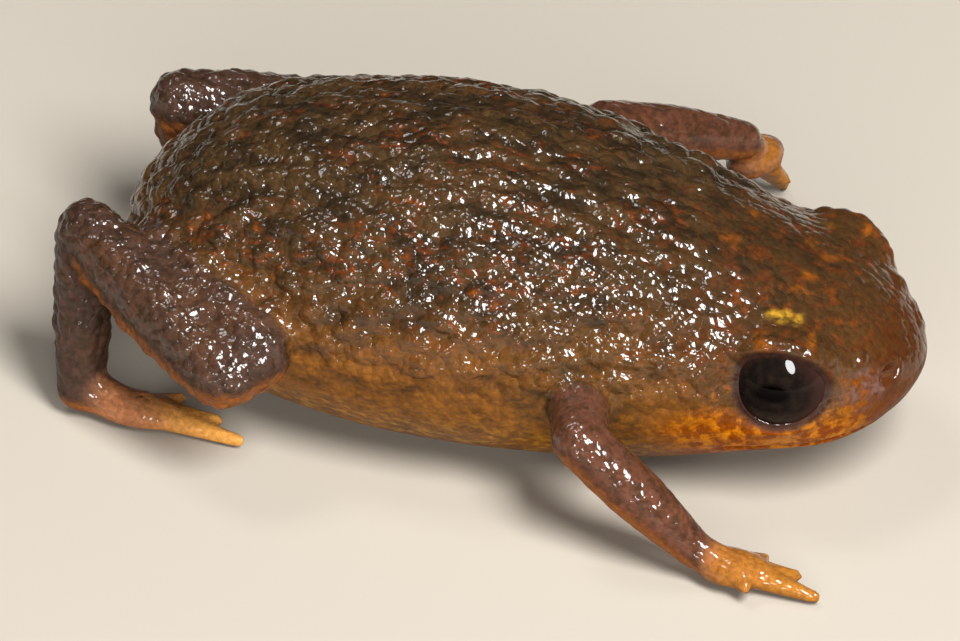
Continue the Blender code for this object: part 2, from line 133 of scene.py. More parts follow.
def makeLights():
    for name, (towards, distance, width, height, power, glossy) in softboxes.items():
        data = bpy.data.lights.new(name, "AREA")
        data.shape = "ELLIPSE"
        data.size, data.size_y = width, height
        data.energy = power
        lamp = bpy.data.objects.new(name, data)
        lamp.visible_glossy = glossy
        bpy.context.collection.objects.link(lamp)
        place = Vector(towards).normalized() * distance
        lamp.matrix_world = Matrix.Translation(place) @ place.to_track_quat("Z", "Y").to_matrix().to_4x4()
    # the small side light makes the flank's fine glints and is kept off the eyes
    bpy.data.objects["side"].light_linking.receiver_collection = bpy.data.collections.new(sideLit)
    world = bpy.data.worlds.new("studio")
    world.use_nodes = True
    glow = world.node_tree.nodes["Background"]
    glow.inputs["Color"].default_value = toLinear(stage["roomColour"])
    glow.inputs["Strength"].default_value = stage["roomStrength"]
    bpy.context.scene.world = world
    bpy.context.scene.view_settings.view_transform = "Standard"


def makeFloor():
    mesh = bmesh.new()
    bmesh.ops.create_grid(mesh, x_segments=1, y_segments=1, size=stage["floorSize"])
    data = bpy.data.meshes.new("floor")
    mesh.to_mesh(data)
    mesh.free()
    floor = bpy.data.objects.new("floor", data)
    bpy.context.collection.objects.link(floor)
    paint = bpy.data.materials.new("pale studio paper")
    paint.use_nodes = True
    shader = paint.node_tree.nodes["Principled BSDF"]
    shader.inputs["Base Color"].default_value = toLinear(stage["floorColour"])
    shader.inputs["Roughness"].default_value = stage["floorRoughness"]
    data.materials.append(paint)


makeCamera()
makeLights()
makeFloor()
print("camera, lights and floor")


# Trunk and head: the same sections as the solids, much finer

body = {
    "vent": -4.8,
    "length": 12.0,
    "rumpRound": 1.5,
    "snoutRound": 1.3,
    "backPower": 2.1,
    # distance from the vent, half width, back, belly, widest line, power of the lower half
    "stations": (
        (0.0, 1.88, 3.50, 1.15, 2.40, 2.0),
        (0.9, 2.14, 3.82, 0.72, 2.30, 2.0),
        (2.2, 2.56, 4.30, 0.22, 2.12, 2.0),
        (3.8, 2.86, 4.60, -0.05, 2.05, 2.0),
        (5.4, 2.95, 4.68, -0.08, 2.00, 2.0),
        (6.9, 2.80, 4.42, -0.04, 2.00, 2.0),
        (8.2, 2.50, 4.05, 0.12, 2.00, 2.15),
        (9.2, 2.25, 3.70, 0.42, 1.95, 2.4),
        (10.2, 1.98, 3.31, 0.68, 1.90, 2.5),
        (11.0, 1.73, 2.95, 0.86, 1.85, 2.5),
        (11.6, 1.55, 2.70, 1.00, 1.85, 2.4),
        (12.0, 1.35, 2.50, 1.10, 1.85, 2.4),
    ),
    "sides": 150,
    "step": 0.09,
}


def smoothRow(rows, at):
    # Read the columns of a table at a place, on a smooth curve through its rows.
    last = len(rows) - 1
    index = 0
    while index < last - 1 and at > rows[index + 1][0]:
        index += 1
    before, here = rows[max(index - 1, 0)], rows[index]
    after, beyond = rows[index + 1], rows[min(index + 2, last)]
    span = after[0] - here[0]
    t = min(max((at - here[0]) / span, 0.0), 1.0)
    values = []
    for column in range(1, len(here)):
        slopeHere = (after[column] - before[column]) / (after[0] - before[0]) * span
        slopeAfter = (beyond[column] - here[column]) / (beyond[0] - here[0]) * span
        values.append(
            (2 * t**3 - 3 * t**2 + 1) * here[column] + (t**3 - 2 * t**2 + t) * slopeHere
            + (3 * t**2 - 2 * t**3) * after[column] + (t**3 - t**2) * slopeAfter)
    return values


def opening(at):
    # How far a section has opened, from 0 at the two ends of the body to 1
    opened = 1.0
    if at < body["rumpRound"]:
        opened = math.sqrt(max(1 - (1 - at / body["rumpRound"]) ** 2, 0))
    ahead = body["length"] - at
    if ahead < body["snoutRound"]:
        opened = math.sqrt(max(1 - (1 - ahead / body["snoutRound"]) ** 2, 0))
    return opened


def bodyPoint(at, angle):
    width, back, belly, middle, lowPower = smoothRow(body["stations"], at)
    opened = opening(at)
    across, up = math.cos(angle), math.sin(angle)
    power = body["backPower"] if up > 0 else lowPower
    reach = back - middle if up > 0 else middle - belly
    y = width * opened * math.copysign(abs(across) ** (2 / power), across)
    z = middle + reach * opened * math.copysign(abs(up) ** (2 / power), up)
    return Vector((body["vent"] + at, y, z))


def bodyWidth(at, z):
    # Half width of the body at a height
    width, back, belly, middle, lowPower = smoothRow(body["stations"], at)
    opened = opening(at)
    power = body["backPower"] if z > middle else lowPower
    reach = back - middle if z > middle else middle - belly
    share = min(abs(z - middle) / max(reach * opened, 1e-6), 1.0)
    return width * opened * (1 - share**power) ** (1 / power)


def makeObject(name, mesh):
    bmesh.ops.recalc_face_normals(mesh, faces=mesh.faces)
    data = bpy.data.meshes.new(name)
    mesh.to_mesh(data)
    mesh.free()
    thing = bpy.data.objects.new(name, data)
    bpy.context.collection.objects.link(thing)
    return thing


def closeRings(name, rings, first, last):
    # Skin a row of rings into a closed object, each end drawn to a point.
    mesh = bmesh.new()
    start, end = mesh.verts.new(first), mesh.verts.new(last)
    loops = [[mesh.verts.new(point) for point in ring] for ring in rings]
    count = len(loops[0])
    for one, two in zip(loops, loops[1:]):
        for i in range(count):
            j = (i + 1) % count
            mesh.faces.new((one[i], one[j], two[j], two[i]))
    for i in range(count):
        j = (i + 1) % count
        mesh.faces.new((start, loops[0][j], loops[0][i]))
        mesh.faces.new((end, loops[-1][i], loops[-1][j]))
    return makeObject(name, mesh)


def makeBody():
    places = []
    turns = 22
    length, rump, snout = body["length"], body["rumpRound"], body["snoutRound"]
    for step in range(1, turns):
        places.append(rump * (1 - math.cos(math.pi / 2 * step / turns)))
    at = rump
    while at < length - snout:
        places.append(at)
        at += body["step"]
    for step in range(turns, 0, -1):
        places.append(length - snout * (1 - math.cos(math.pi / 2 * step / turns)))
    angles = [2 * math.pi * i / body["sides"] for i in range(body["sides"])]
    rings = [[bodyPoint(place, angle) for angle in angles] for place in places]
    return closeRings("body", rings, bodyPoint(0, 0), bodyPoint(length, 0))


# Eyes and the skin round them

eye = {
    "radius": 0.74,
    "centre": (5.47, 1.44, 2.22),
    "look": (0.06, 1.0, 0.20),
    "lidOutside": 0.85,        # radius of the swelling that the lids make
    "lidBlend": 7.0,
    "opening": (70, 56, 44, 52),  # degrees off the eye's axis: in front, behind, above and below
    "openingReach": 0.98,      # and no further out than this from the eye's middle
    "pit": 0.65,               # radius of the skin behind the eyeball
    "lidEdge": 0.762,          # radius of the lids' free edge, on the eyeball
    "brow": (0.20, 0.17, 0.06),  # roll along the upper lid: distance from the edge, half width, height
    "pupil": (0.24, 0.13),     # half length and half height on the ball
    "iris": 0.56,
}


def eyeCentre(side):
    x, y, z = eye["centre"]
    return Vector((x, side * y, z))


def eyeLook(side):
    x, y, z = eye["look"]
    return Vector((x, side * y, z)).normalized()


def swellLids(mesh):
    for side in (1, -1):
        centre = eyeCentre(side)
        reachOut, blend = eye["lidOutside"], eye["lidBlend"]
        for vert in mesh.verts:
            away = vert.co - centre
            if away.length < 3 * reachOut:
                reach = (away.length**blend + reachOut**blend) ** (1 / blend)
                vert.co = centre + away.normalized() * reach


def lidGaps(co):
    # Distance outside the lids' edge, 99 away from the eyes, and the distance from the eye's middle
    gaps = np.full(len(co), 99.0)
    reaches = np.full(len(co), 99.0)
    for side in (1, -1):
        look = np.array(eyeLook(side))
        away = co - np.array(eyeCentre(side))
        reach = np.maximum(np.linalg.norm(away, axis=1), 1e-6)
        turned = np.arccos(np.clip((away @ look) / reach, -1, 1))   # angle off the eye's axis
        level = np.cross((0, 0, 1), look)
        level /= np.linalg.norm(level)
        ahead, up = away @ level * -side, away @ np.cross(look, level)
        flat = np.maximum(np.hypot(ahead, up), 1e-6)
        front, rear, above, below = (math.radians(value) for value in eye["opening"])
        ratio = turned * np.hypot(
            ahead / flat / np.where(ahead > 0, front, rear), up / flat / np.where(up > 0, above, below))
        turnGap, reachGap = (ratio - 1) * eye["radius"], reach - eye["openingReach"]
        gap = (turnGap + reachGap + np.sqrt((turnGap - reachGap) ** 2 + 0.06**2)) / 2   # a soft maximum
        closer = gap < gaps
        gaps = np.where(closer, gap, gaps)
        reaches = np.where(closer, reach, reaches)
    return gaps, reaches


def applyModifier(thing, kind, **settings):
    # Add a modifier, take its result as the mesh and drop the modifier.
    modifier = thing.modifiers.new(kind.lower(), kind)
    for key, value in settings.items():
        setattr(modifier, key, value)
    graph = bpy.context.evaluated_depsgraph_get()
    data = bpy.data.meshes.new_from_object(thing.evaluated_get(graph))
    thing.modifiers.clear()
    old = thing.data
    thing.data = data
    bpy.data.meshes.remove(old)


# Limbs: each joint's place and the limb's radius there

limbs = {
    # a leg's joints are the hip, the thigh's end, the shank's end, the heel and the ankle
    "left": {
        "arm": (((2.55, 1.80, 1.90), 0.46), ((1.18, 3.95, 2.38), 0.40), ((2.88, 5.45, 1.50), 0.30)),
        "leg": (((-3.70, 1.70, 2.40), 0.62), ((-2.03, 3.05, 2.28), 0.50), ((-2.44, 3.40, 2.00), 0.50),
                ((-4.84, 2.24, 2.74), 0.46), ((-4.58, 2.78, 0.42), 0.36)),
        "fingertip": (3.24, 6.52, 0.09),
        "toetip": (-1.90, 3.10, 0.14),
    },
    "right": {
        "arm": (((2.55, -1.80, 1.90), 0.46), ((3.02, -3.58, 2.00), 0.41), ((4.82, -3.66, 0.48), 0.28)),
        "leg": (((-3.70, -1.70, 2.70), 0.62), ((-2.03, -3.05, 2.28), 0.50), ((-2.44, -3.40, 2.00), 0.50),
                ((-5.02, -1.74, 2.98), 0.44), ((-5.02, -2.12, 0.42), 0.36)),
        "fingertip": (6.66, -3.83, 0.14),
        "toetip": (-2.50, -2.40, 0.14),
    },
    "armLengths": ((0, 1, 0.02), (1, 2, 0.06)),              # joints and swelling of the two lengths
    "legLengths": ((0, 1, 0.06), (2, 3, 0.12), (3, 4, 0.01)),  # of the thigh, shank and tarsus
    "fingers": ((0, 1.0), (12, 0.80), (26, 0.54), (-22, 0.54)),
    "toes": ((0, 1.0), (8, 0.82), (20, 0.58)),
    "palm": (0.56, 0.38, 0.25),
    "sole": (0.85, 0.36, 0.25),
    "digit": (0.23, 0.17, 0.10),
}
axes = (Vector((1, 0, 0)), Vector((0, 1, 0)), Vector((0, 0, 1)))


def tube(rows, sides=28, steps=24, ends=6):
    # A round-ended tube along rows of x, y, z and radius
    table = [(i / (len(rows) - 1), *row) for i, row in enumerate(rows)]
    stops = [smoothRow(table, i / steps) for i in range(steps + 1)]
    centres = [Vector(stop[:3]) for stop in stops]
    radii = [stop[3] for stop in stops]
    runs = [(two - one).normalized() for one, two in zip(centres, centres[1:])]
    heading, finish = runs[0], runs[-1]
    across = min(axes, key=lambda axis: max(abs(axis.dot(run)) for run in runs))
    rings = []

    def ring(centre, along, radius):
        side = (across - along * across.dot(along)).normalized()
        up = along.cross(side)
        turns = [2 * math.pi * i / sides for i in range(sides)]
        rings.append([centre + (side * math.cos(a) + up * math.sin(a)) * radius for a in turns])

    for i in range(1, ends):
        bend = math.pi / 2 * i / ends
        ring(centres[0] - heading * radii[0] * math.cos(bend), heading, radii[0] * math.sin(bend))
    for i, centre in enumerate(centres):
        along = centres[min(i + 1, steps)] - centres[max(i - 1, 0)]
        ring(centre, along.normalized(), radii[i])
    for i in range(ends - 1, 0, -1):
        bend = math.pi / 2 * i / ends
        ring(centres[-1] + finish * radii[-1] * math.cos(bend), finish, radii[-1] * math.sin(bend))
    return closeRings("tube", rings, centres[0] - heading * radii[0], centres[-1] + finish * radii[-1])


def limbRows(start, end, swell):
    (root, rootRadius), (tip, tipRadius) = start, end
    root, tip = Vector(root), Vector(tip)
    middle = (rootRadius + tipRadius) / 2 + swell
    return ((*root, rootRadius), (*root.lerp(tip, 0.5), middle), (*tip, tipRadius))


def ellipsoid(centre, halfSizes, turn):
    mesh = bmesh.new()
    bmesh.ops.create_uvsphere(mesh, u_segments=32, v_segments=20, radius=1.0)
    place = Matrix.Translation(centre) @ Matrix.Rotation(turn, 4, "Z")
    mesh.transform(place @ Matrix.Diagonal((*halfSizes, 1.0)))
    return makeObject("pad", mesh)


def extremityParts(root, tip, digits, pad, side):
    # Rows for a hand's or foot's wrist and digits, and its pad
    root, rootRadius = Vector(root[0]), root[1]
    reach = Vector(tip) - root
    heart = root + reach * (pad[0] / reach.length)
    heart.z = max(heart.z - 0.05, pad[2] * 0.9)
    radii = limbs["digit"]
    rows = [((*root, rootRadius), (*heart, radii[0]))]
    for angle, share in digits:
        inward = Matrix.Rotation(math.radians(-angle * side), 3, "Z")
        end = root + inward @ reach * share
        end.z = max(end.z, radii[2] * 0.9)
        start, middle = heart.lerp(end, 0.08), heart.lerp(end, 0.5)
        start.z = max(start.z, radii[0] * 0.9)
        middle.z = max(middle.z, radii[1] * 0.9)
        rows.append([(*place, radius) for place, radius in zip((start, middle, end), radii)])
    return rows, (heart, pad, math.atan2(reach.y, reach.x))


def limbParts():
    # Every limb's rows, the digits' rows and the pads
    lengths, digits, pads = [], [], []
    for word, side in sideOf.items():
        arm, leg = limbs[word]["arm"], limbs[word]["leg"]
        for joints, spans in ((arm, limbs["armLengths"]), (leg, limbs["legLengths"])):
            for start, end, swell in spans:
                lengths.append(limbRows(joints[start], joints[end], swell))
        for root, tip, kinds, pad in (
                (arm[-1], limbs[word]["fingertip"], limbs["fingers"], limbs["palm"]),
                (leg[-1], limbs[word]["toetip"], limbs["toes"], limbs["sole"])):
            rows, cushion = extremityParts(root, tip, kinds, pad, side)
            digits.extend(rows)
            pads.append(cushion)
    return lengths, digits, pads


# One skin over everything

skin = {
    "voxel": 0.070,
    "smooth": 4,
    "jointSmooth": 30,
    "jointReach": 0.75,
    # soft swellings on both sides: middle, reach and height
    "swellings": (
        ((2.05, 2.70, 2.60), 0.50, 0.13),   # shoulder blade over the arm
        ((6.50, 1.06, 2.43), 0.18, 0.07),   # above the nostril
        ((-1.80, 3.30, 1.85), 0.42, 0.13),  # front of the knee
    ),
}


def joinAll(name, things):
    # Put several objects' meshes in one.
    mesh = bmesh.new()
    for thing in things:
        mesh.from_mesh(thing.data)
        data = thing.data
        bpy.data.objects.remove(thing)
        bpy.data.meshes.remove(data)
    return makeObject(name, mesh)


def makeSkinBase():
    trunk = makeBody()
    mesh = bmesh.new()
    mesh.from_mesh(trunk.data)
    swellLids(mesh)
    mesh.to_mesh(trunk.data)
    mesh.free()
    lengths, digits, pads = limbParts()
    things = [trunk]
    things += [tube(rows) for rows in lengths]
    things += [tube(rows, sides=18, steps=16) for rows in digits]
    things += [ellipsoid(*pad) for pad in pads]
    base = joinAll("toadletSkin", things)
    applyModifier(base, "REMESH", mode="VOXEL", voxel_size=skin["voxel"], adaptivity=0.0)
    group = base.vertex_groups.new(name="joints")
    soft = []
    for word in sideOf:
        soft += limbs[word]["arm"][:2]
        soft += limbs[word]["leg"][:4]
    for vert in base.data.vertices:
        nearest = min((vert.co - Vector(place)).length - radius for place, radius in soft)
        weight = 1 - max(min(nearest / skin["jointReach"], 1), 0)
        if weight > 0.02:
            group.add([vert.index], weight, "REPLACE")
    applyModifier(base, "SMOOTH", factor=0.5, iterations=skin["jointSmooth"], vertex_group="joints")
    applyModifier(base, "SMOOTH", factor=0.5, iterations=skin["smooth"])
    co, out = points(base.data), normals(base.data)
    for (x, y, z), reach, height in skin["swellings"]:
        for side in (1, -1):
            gap = np.linalg.norm(co - (x, side * y, z), axis=1) / reach
            co += out * (height * np.exp(-gap * gap))[:, None]
    setPoints(base.data, co)
    return base


# Fields over the skin, read by the granules and by the paint

def points(mesh):
    co = np.empty(len(mesh.vertices) * 3)
    mesh.vertices.foreach_get("co", co)
    return co.reshape(-1, 3)


def normals(mesh):
    values = np.empty(len(mesh.vertices) * 3)
    mesh.vertex_normals.foreach_get("vector", values)
    return values.reshape(-1, 3)


def setPoints(mesh, co):
    mesh.vertices.foreach_set("co", co.reshape(-1))
    mesh.update()


def setField(mesh, name, values):
    attribute = mesh.attributes.get(name) or mesh.attributes.new(name, "FLOAT", "POINT")
    attribute.data.foreach_set("value", np.asarray(values, dtype=np.float32))


def field(mesh, name):
    values = np.empty(len(mesh.vertices), dtype=np.float32)
    mesh.attributes[name].data.foreach_get("value", values)
    return values


def tubeDepth(co, rows):
    # Distance outside a tube's skin, and the share of the way along it
    best = np.full(len(co), 99.0)
    along = np.zeros(len(co))
    spans = len(rows) - 1
    for i, (one, two) in enumerate(zip(rows, rows[1:])):
        a, b = np.array(one[:3]), np.array(two[:3])
        t = np.clip(((co - a) @ (b - a)) / ((b - a) @ (b - a)), 0, 1)
        gap = np.linalg.norm(co - (a + t[:, None] * (b - a)), axis=1) - (one[3] + t * (two[3] - one[3]))
        closer = gap < best
        best[closer] = gap[closer]
        along[closer] = (i + t[closer]) / spans
    return best, along


def bodyShare(co):
    # 1 on the trunk's own surface, more outside it
    stops = np.linspace(0, body["length"], 600)
    table = np.array([smoothRow(body["stations"], at) + [opening(at)] for at in stops])
    at = np.clip(co[:, 0] - body["vent"], 0, body["length"])
    width, back, belly, middle, power, opened = (np.interp(at, stops, column) for column in table.T)
    up = co[:, 2] - middle
    reach = np.where(up > 0, back - middle, middle - belly)
    power = np.where(up > 0, body["backPower"], power)
    opened = np.maximum(opened, 0.25)
    across = np.abs(co[:, 1]) / (width * opened)
    return (across**power + (np.abs(up) / (reach * opened)) ** power) ** (1 / power)


headMarks = (
    # field, middle on the right side, half sizes, strength there and mirrored on the left side
    ("cheek", (6.60, -1.20, 2.05), (0.60, 0.8, 0.50), 1.0, 1.0),
    ("yellowMark", (5.24, -1.27, 3.14), (0.16, 0.3, 0.06), 0.8, 0.3),
    ("yellowMark", (5.42, -1.24, 3.11), (0.20, 0.3, 0.08), 1.0, 0.3),
    ("yellowMark", (5.62, -1.20, 3.06), (0.18, 0.3, 0.06), 0.8, 0.2),
    ("orangeMark", (5.30, -1.65, 2.95), (0.34, 0.4, 0.16), 1.0, 0.6),
    ("orangeMark", (5.92, -1.49, 2.96), (0.14, 0.3, 0.09), 1.0, 0.6),
    ("orangeMark", (4.37, -0.40, 3.69), (0.40, 0.30, 0.3), 0.35, 0.0),
    ("orangeMark", (4.46, 0.46, 3.65), (0.30, 0.20, 0.3), 0.4, 0.0),
    ("orangeMark", (5.35, 0.50, 3.30), (0.22, 0.28, 0.3), 0.5, 0.0),
    ("orangeMark", (5.66, 0.34, 3.21), (0.16, 0.32, 0.3), 0.5, 0.0),
    ("orangeMark", (5.54, -0.29, 3.24), (0.20, 0.18, 0.3), 0.5, 0.0),
    ("orangeMark", (5.50, -0.64, 3.19), (0.30, 0.16, 0.3), 0.5, 0.0),
    ("orangeMark", (4.02, -2.29, 1.50), (0.22, 0.30, 0.12), 1.0, 0.8),
    ("orangeMark", (4.62, -2.15, 1.84), (0.40, 0.40, 0.26), 1.0, 0.9),
    ("shoulderShade", (2.70, -2.60, 2.15), (1.7, 1.0, 1.1), 1.0, 1.0),
)


def markFields(co):
    # For each kind of mark, 1 in the middle of a mark and 0 from its edge on
    fields = {}
    for name, (x, y, z), sizes, right, left in headMarks:
        for side, strength in ((1, right), (-1, left)):
            away = (co - (x, side * y, z)) / sizes
            mark = strength * smoothstep(1.0, 0.2, np.linalg.norm(away, axis=1))
            fields[name] = np.maximum(fields.get(name, 0.0), mark)
    return fields


def paintFields(mesh):
    co = points(mesh)
    lengths, digits, pads = limbParts()
    limb = np.full(len(co), 99.0)
    for rows in lengths:
        limb = np.minimum(limb, tubeDepth(co, rows)[0])
    digit = np.full(len(co), 99.0)
    for rows in digits:
        digit = np.minimum(digit, tubeDepth(co, rows)[0])
    reach = np.zeros(len(co))
    for word in sideOf:
        for root, tip in ((limbs[word]["arm"][-1][0], limbs[word]["fingertip"]),
                          (limbs[word]["leg"][-1][0], limbs[word]["toetip"])):
            root, tip = np.array(root), np.array(tip)
            share = np.clip((co - root) @ (tip - root) / ((tip - root) @ (tip - root)), 0, 1)
            near = np.linalg.norm(co - (root + share[:, None] * (tip - root)), axis=1) < 0.9
            reach = np.where(near, np.maximum(reach, share), reach)
    outside = smoothstep(1.03, 1.16, bodyShare(co))
    isDigit = smoothstep(0.30, 0.02, digit) * outside
    isLimb = smoothstep(0.45, 0.10, np.minimum(limb, digit)) * outside
    at = co[:, 0] - body["vent"]
    fields = {
        "limb": isLimb,
        "digit": isDigit,
        "digitReach": reach * isDigit,
        "hand": smoothstep(1.0, 2.0, co[:, 0]) * isDigit,
        "arm": smoothstep(0.0, 1.0, co[:, 0]) * isLimb,
        "headShare": smoothstep(8.0, 9.8, at),
        "lidGap": field(mesh, "lidGap"),
        "low": smoothstep(2.4, 0.7, co[:, 2]),
        "high": np.clip((co[:, 2] - 1.0) / 2.8, 0, 1),
        "under": smoothstep(0.35, -0.6, normals(mesh)[:, 2]),
        "snoutShare": smoothstep(11.0, 11.9, at),
        **markFields(co),
    }
    for name, values in fields.items():
        setField(mesh, name, values)
    return fields


# The line of the mouth, the lips and the nostrils

mouth = {
    "corner": 9.3,             # distance from the vent
    "height": (1.08, 1.40),    # at the corner and under the snout
    "depth": 0.045,
    "width": 0.045,
    "lipSwell": 0.02,
    "lipHeight": 0.20,
}
nostril = {
    "at": 11.70,
    "angle": math.radians(32),
    "slit": (0.17, 0.080),     # half length and half width
    "lean": (0.53, -0.79, 0.30),  # the way that the slit runs on the left side
    "depth": 0.20,
    "rim": 0.035,
}


def mouthHeight(at):
    share = min(max((at - mouth["corner"]) / (body["length"] - mouth["corner"]), 0.0), 1.0)
    low, high = mouth["height"]
    return low + (high - low) * share**0.7


def mouthLine():
    near, far = mouth["corner"], body["length"]
    for _ in range(30):
        middle = (near + far) / 2
        if bodyWidth(middle, mouthHeight(middle)) > 0:
            near = middle
        else:
            far = middle
    steps = 120
    left = []
    for i in range(steps):
        at = mouth["corner"] + (near - mouth["corner"]) * math.sin(math.pi / 2 * i / steps)
        z = mouthHeight(at)
        left.append(Vector((body["vent"] + at, bodyWidth(at, z), z)))
    tip = Vector((body["vent"] + near, 0, mouthHeight(near)))
    right = [Vector((p.x, -p.y, p.z)) for p in reversed(left)]
    return left + [tip] + right


def refine(thing, chosen):
    # Split the edges between chosen points in two.
    mesh = bmesh.new()
    mesh.from_mesh(thing.data)
    edges = [edge for edge in mesh.edges if all(chosen[vert.index] for vert in edge.verts)]
    bmesh.ops.subdivide_edges(mesh, edges=edges, cuts=1, use_grid_fill=True, smooth=0.0)
    mesh.to_mesh(thing.data)
    mesh.free()


def pressLids(thing):
    # Press a pit under each eyeball, with the lids' edge lying on the ball.
    for band in ((-0.16, 0.30), (-0.05, 0.14)):
        gaps, _ = lidGaps(points(thing.data))
        refine(thing, (gaps > band[0]) & (gaps < band[1]))
    data = thing.data
    co = points(data)
    gaps, reaches = lidGaps(co)
    for side in (1, -1):
        centre = np.array(eyeCentre(side))
        mine = (gaps < 1.0) & (co[:, 1] * side > 0)
        away = co[mine] - centre
        gap, reach = gaps[mine], reaches[mine]
        lid = np.maximum(reach, eye["lidOutside"])
        slope = 0.08 + 0.6 * np.clip(reach - eye["lidOutside"], 0, 0.3)
        lid = eye["lidEdge"] + (lid - eye["lidEdge"]) * smoothstep(0.0, 1.0, gap / slope)
        wall = smoothstep(-0.035, 0.005, gap)
        wanted = eye["pit"] + (lid - eye["pit"]) * wall
        co[mine] = centre + away * (wanted / reach)[:, None]
    setPoints(data, co)
    setField(data, "lidGap", gaps)
    place, width, height = eye["brow"]
    above = smoothstep(0.05, 0.45, co[:, 2] - eye["centre"][2])
    roll = height * above * np.exp(-((gaps - place) / width) ** 2)
    setPoints(data, co + normals(data) * roll[:, None])


def carveHead(thing):
    line = mouthLine()
    tree = kdtree.KDTree(len(line))
    for i, point in enumerate(line):
        tree.insert(point, i)
    tree.balance()
    pits, leans = [], []
    for side in (1, -1):
        angle = nostril["angle"] if side > 0 else math.pi - nostril["angle"]
        pits.append(bodyPoint(nostril["at"], angle))
        x, y, z = nostril["lean"]
        leans.append(Vector((x, side * y, z)).normalized())
    front = body["vent"] + mouth["corner"] - 0.6

    def nearDetail(co):
        if co.x < front:
            return False
        return tree.find(co)[2] < 0.20 or min((co - pit).length for pit in pits) < 0.32

    refine(thing, [nearDetail(Vector(place)) for place in points(thing.data)])
    pressLids(thing)
    data = thing.data
    co, out = points(data), normals(data)
    for i in np.nonzero(co[:, 0] > front)[0]:
        here = Vector(co[i])
        _, index, gap = tree.find(here)
        ends = min(index, len(line) - 1 - index) / 14
        fade = min(ends, 1.0)
        lip = mouth["lipSwell"] * math.exp(-(gap / mouth["lipHeight"]) ** 2)
        groove = (mouth["depth"] + mouth["lipSwell"]) * math.exp(-(gap / mouth["width"]) ** 2)
        lift = (lip - groove) * fade
        for place, lean in zip(pits, leans):
            away = here - place
            if away.length < 0.5:
                long, wide = nostril["slit"]
                along = away.dot(lean)
                pit = math.hypot(along / long, math.sqrt(max(away.length_squared - along * along, 0)) / wide)
                lift += nostril["rim"] * math.exp(-((pit - 1.8) / 0.7) ** 2)
                lift -= nostril["depth"] * math.exp(-pit * pit)
        co[i] += out[i] * lift
    setPoints(data, co)


# Warts, granules and pebbles: domes raised on scattered points by one tree

granules = (
    # name, spacing, radius, height, waver (mm), squeeze of the distances, seed, field that says where
    ("warts", 0.38, 0.34, 0.16, 0.22, (0.64, 1.0, 1.0), 3, "wartMask"),
    ("granules", 0.22, 0.16, 0.024, 0.12, (0.90, 1.0, 1.0), 8, "granuleMask"),
    ("pebbles", 0.24, 0.19, 0.036, 0.05, (1.0, 1.0, 1.0), 5, "browMask"),
)


